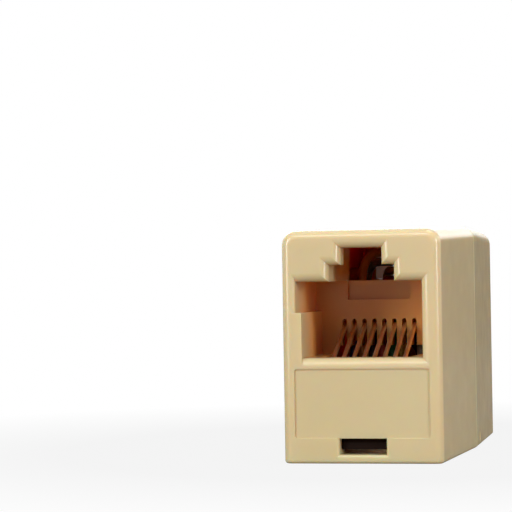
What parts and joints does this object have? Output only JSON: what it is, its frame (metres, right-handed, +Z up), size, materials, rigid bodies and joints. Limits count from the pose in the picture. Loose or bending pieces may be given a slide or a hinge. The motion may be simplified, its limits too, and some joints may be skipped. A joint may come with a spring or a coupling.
{
  "type": "rj45 inline coupler",
  "caption": "Small moulded inline coupler that joins two modular network plugs end to end, with a keyed port at each end.",
  "frame": {"origin": "on the surface it rests on, under the middle of the housing", "axes": "+Z up towards the latch side of the ports, Y along the housing from the front port (-Y) to the rear port (+Y), X across the ports"},
  "size_m": [0.017, 0.039, 0.023],
  "materials": {
    "housing_plastic": "moulded, cream, soft gloss",
    "insert_plastic": "moulded, black, satin",
    "contact_gold": "gold plated spring wire",
    "tinned_metal": "tinned, dull",
    "lead_blue": "extruded insulation",
    "lead_orange": "extruded insulation",
    "lead_black": "extruded insulation",
    "lead_red": "extruded insulation",
    "lead_green": "extruded insulation",
    "lead_yellow": "extruded insulation",
    "lead_brown": "extruded insulation",
    "lead_white": "extruded insulation"
  },
  "bodies": {
    "root": {"front_shell": "housing_plastic", "rear_shell": "housing_plastic", "front_insert": "insert_plastic", "rear_insert": "insert_plastic", "front_contact_1": "contact_gold", "front_crimp_1": "tinned_metal", "front_contact_2": "contact_gold", "front_crimp_2": "tinned_metal", "front_contact_3": "contact_gold", "front_crimp_3": "tinned_metal", "front_contact_4": "contact_gold", "front_crimp_4": "tinned_metal", "front_contact_5": "contact_gold", "front_crimp_5": "tinned_metal", "front_contact_6": "contact_gold", "front_crimp_6": "tinned_metal", "front_contact_7": "contact_gold", "front_crimp_7": "tinned_metal", "front_contact_8": "contact_gold", "front_crimp_8": "tinned_metal", "rear_contact_1": "contact_gold", "rear_crimp_1": "tinned_metal", "rear_contact_2": "contact_gold", "rear_crimp_2": "tinned_metal", "rear_contact_3": "contact_gold", "rear_crimp_3": "tinned_metal", "rear_contact_4": "contact_gold", "rear_crimp_4": "tinned_metal", "rear_contact_5": "contact_gold", "rear_crimp_5": "tinned_metal", "rear_contact_6": "contact_gold", "rear_crimp_6": "tinned_metal", "rear_contact_7": "contact_gold", "rear_crimp_7": "tinned_metal", "rear_contact_8": "contact_gold", "rear_crimp_8": "tinned_metal", "link_wire_1": "lead_blue", "link_wire_2": "lead_orange", "link_wire_3": "lead_black", "link_wire_4": "lead_red", "link_wire_5": "lead_green", "link_wire_6": "lead_yellow", "link_wire_7": "lead_brown", "link_wire_8": "lead_white"}
  },
  "joints": []
}
